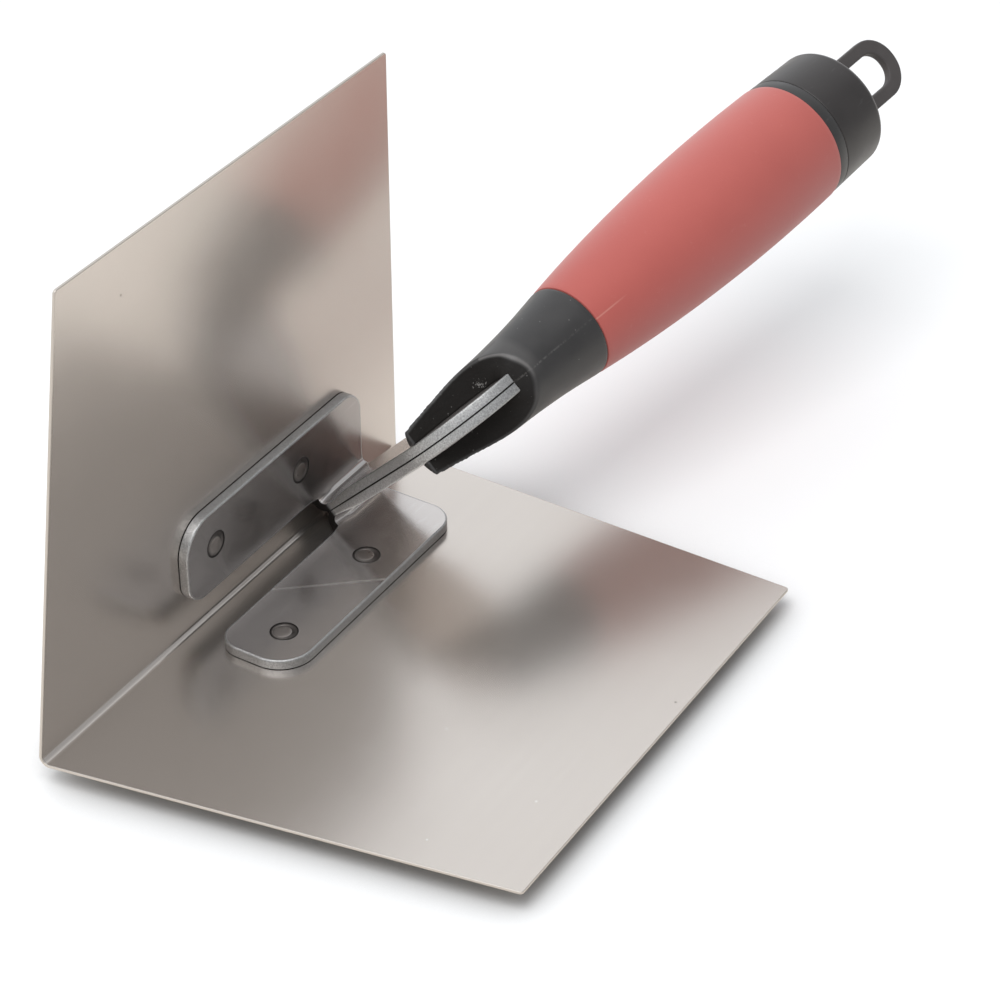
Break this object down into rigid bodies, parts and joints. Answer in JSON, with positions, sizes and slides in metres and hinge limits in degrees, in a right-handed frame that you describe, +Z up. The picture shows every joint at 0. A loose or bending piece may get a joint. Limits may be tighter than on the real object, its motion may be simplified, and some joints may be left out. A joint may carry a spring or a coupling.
{
  "type": "inside corner trowel",
  "caption": "Right-angle bent blade with two riveted brackets forming a tang, a soft grip over a black core, an end cap and a hang loop.",
  "frame": {"origin": "outer corner line of the bent blade, half-way along its length", "axes": "+Y along the blade's corner line towards the handle's free end, +Z up along the left wing, +X out along the right wing, which lies flat"},
  "size_m": [0.1, 0.2548, 0.1],
  "materials": {
    "blade_steel": "satin stainless sheet",
    "bracket_steel": "tumbled plate steel",
    "rivet_steel": "plain steel",
    "core_plastic": "moulded, satin",
    "grip_rubber": "soft matte",
    "cap_plastic": "moulded, satin",
    "loop_plastic": "moulded, matte"
  },
  "bodies": {
    "root": {"corner_blade": "blade_steel", "left_bracket": "bracket_steel", "right_bracket": "bracket_steel", "rivets": "rivet_steel", "tang_pin": "rivet_steel", "handle_core": "core_plastic", "grip_sleeve": "grip_rubber", "end_cap": "cap_plastic", "hang_loop": "loop_plastic"}
  },
  "joints": []
}
